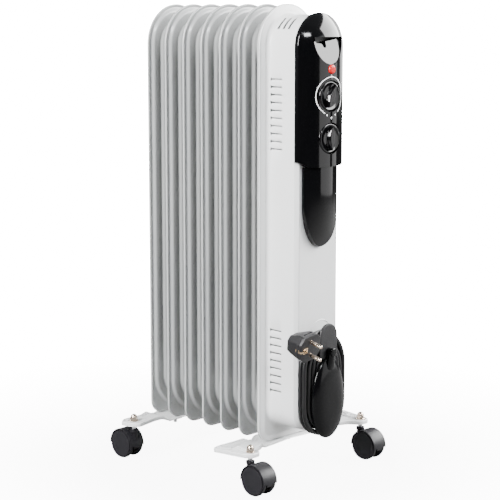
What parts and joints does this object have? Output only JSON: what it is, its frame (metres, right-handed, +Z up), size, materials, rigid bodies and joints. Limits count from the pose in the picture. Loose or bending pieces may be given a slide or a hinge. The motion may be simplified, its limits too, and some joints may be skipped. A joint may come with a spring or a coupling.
{
  "type": "oil filled radiator heater",
  "caption": "Upright oil filled radiator heater: stacked white pressed sections, black control panel with knobs, cord winder with plug, and feet on twin-wheel casters.",
  "frame": {"origin": "on the floor, under the middle of the heater's box without its cord and plug", "axes": "+Z up, +Y from the control panel towards the rear section, +X to the right seen from the controls"},
  "size_m": [0.2608, 0.3369, 0.625],
  "materials": {
    "enamel": "smooth gloss white enamel",
    "black_gloss": "high gloss moulded",
    "black_matt": "fine spark-eroded satin",
    "cord_black": "extruded PVC sheath, satin",
    "lamp_red": "transparent red lens",
    "zinc": "zinc plated",
    "element_steel": "annealed steel tube and flange",
    "white_plastic": "glass-filled technical plastic",
    "nickel": "nickel plated",
    "brass": "bare brass",
    "caster_black": "moulded nylon, semi-gloss",
    "axle_steel": "bright drawn"
  },
  "bodies": {
    "heater": {"fin_1": "enamel", "fin_2": "enamel", "fin_3": "enamel", "fin_4": "enamel", "fin_5": "enamel", "fin_6": "enamel", "fin_7": "enamel", "hub_rings": "enamel", "rear_hub_caps": "enamel", "heating_element": "element_steel", "oil_filler_plug": "zinc", "thermal_cutout": "zinc", "control_housing": "enamel", "heat_shield": "zinc", "control_panel": "black_gloss", "panel_tongue": "black_gloss", "pilot_lamp": "lamp_red", "lamp_holder": "white_plastic", "thermostat_body": "white_plastic", "switch_body": "white_plastic", "terminal_block": "white_plastic", "tilt_switch": "white_plastic", "internal_lead": "cord_black", "cover_screws": "zinc", "winder_base": "black_matt", "winder_front": "black_gloss", "cord_grommet": "black_matt", "cord_winding": "cord_black", "cord_tail": "cord_black", "plug_body": "black_gloss", "plug_relief": "black_gloss", "plug_pins": "nickel", "plug_earth": "brass", "front_foot": "enamel", "rear_foot": "enamel", "foot_clamps": "zinc", "foot_wing_nuts": "zinc", "caster_stems": "zinc", "caster_dome_nuts": "nickel"},
    "thermostat_control": {"thermostat_shaft": "zinc", "thermostat_knob": "black_matt"},
    "switch_control": {"switch_shaft": "zinc", "switch_knob": "black_matt"},
    "caster_front_left": {"caster_front_left_hood": "caster_black", "caster_front_left_axle": "axle_steel"},
    "wheel_front_left_a": {"caster_front_left_wheel_a": "caster_black"},
    "wheel_front_left_b": {"caster_front_left_wheel_b": "caster_black"},
    "caster_front_right": {"caster_front_right_hood": "caster_black", "caster_front_right_axle": "axle_steel"},
    "wheel_front_right_a": {"caster_front_right_wheel_a": "caster_black"},
    "wheel_front_right_b": {"caster_front_right_wheel_b": "caster_black"},
    "caster_rear_left": {"caster_rear_left_hood": "caster_black", "caster_rear_left_axle": "axle_steel"},
    "wheel_rear_left_a": {"caster_rear_left_wheel_a": "caster_black"},
    "wheel_rear_left_b": {"caster_rear_left_wheel_b": "caster_black"},
    "caster_rear_right": {"caster_rear_right_hood": "caster_black", "caster_rear_right_axle": "axle_steel"},
    "wheel_rear_right_a": {"caster_rear_right_wheel_a": "caster_black"},
    "wheel_rear_right_b": {"caster_rear_right_wheel_b": "caster_black"}
  },
  "joints": [
    {"name": "thermostat_turn", "type": "hinge", "parent": "heater", "child": "thermostat_control", "pos_m": [0, -0.13925, 0.508], "axis": [0, -1, 0], "range_deg": [-125, 175]},
    {"name": "switch_turn", "type": "hinge", "parent": "heater", "child": "switch_control", "pos_m": [0, -0.13925, 0.454], "axis": [0, -1, 0], "range_deg": [-135, 0]},
    {"name": "swivel_front_left", "type": "hinge", "parent": "heater", "child": "caster_front_left", "pos_m": [-0.1105, -0.10975, 0.041], "axis": [0, 0, 1], "continuous": true},
    {"name": "spin_front_left_a", "type": "hinge", "parent": "caster_front_left", "child": "wheel_front_left_a", "pos_m": [-0.11076, -0.12475, 0.02], "axis": [0.9998, -0.0175, 0], "continuous": true},
    {"name": "spin_front_left_b", "type": "hinge", "parent": "caster_front_left", "child": "wheel_front_left_b", "pos_m": [-0.11076, -0.12475, 0.02], "axis": [0.9998, -0.0175, 0], "continuous": true},
    {"name": "swivel_front_right", "type": "hinge", "parent": "heater", "child": "caster_front_right", "pos_m": [0.1105, -0.10975, 0.041], "axis": [0, 0, 1], "continuous": true},
    {"name": "spin_front_right_a", "type": "hinge", "parent": "caster_front_right", "child": "wheel_front_right_a", "pos_m": [0.11024, -0.12475, 0.02], "axis": [0.9998, -0.0175, 0], "continuous": true},
    {"name": "spin_front_right_b", "type": "hinge", "parent": "caster_front_right", "child": "wheel_front_right_b", "pos_m": [0.11024, -0.12475, 0.02], "axis": [0.9998, -0.0175, 0], "continuous": true},
    {"name": "swivel_rear_left", "type": "hinge", "parent": "heater", "child": "caster_rear_left", "pos_m": [-0.1165, 0.10925, 0.041], "axis": [0, 0, 1], "continuous": true},
    {"name": "spin_rear_left_a", "type": "hinge", "parent": "caster_rear_left", "child": "wheel_rear_left_a", "pos_m": [-0.1165, 0.12425, 0.02], "axis": [-1, 0, 0], "continuous": true},
    {"name": "spin_rear_left_b", "type": "hinge", "parent": "caster_rear_left", "child": "wheel_rear_left_b", "pos_m": [-0.1165, 0.12425, 0.02], "axis": [-1, 0, 0], "continuous": true},
    {"name": "swivel_rear_right", "type": "hinge", "parent": "heater", "child": "caster_rear_right", "pos_m": [0.1165, 0.10925, 0.041], "axis": [0, 0, 1], "continuous": true},
    {"name": "spin_rear_right_a", "type": "hinge", "parent": "caster_rear_right", "child": "wheel_rear_right_a", "pos_m": [0.1165, 0.12425, 0.02], "axis": [-1, 0, 0], "continuous": true},
    {"name": "spin_rear_right_b", "type": "hinge", "parent": "caster_rear_right", "child": "wheel_rear_right_b", "pos_m": [0.1165, 0.12425, 0.02], "axis": [-1, 0, 0], "continuous": true}
  ]
}
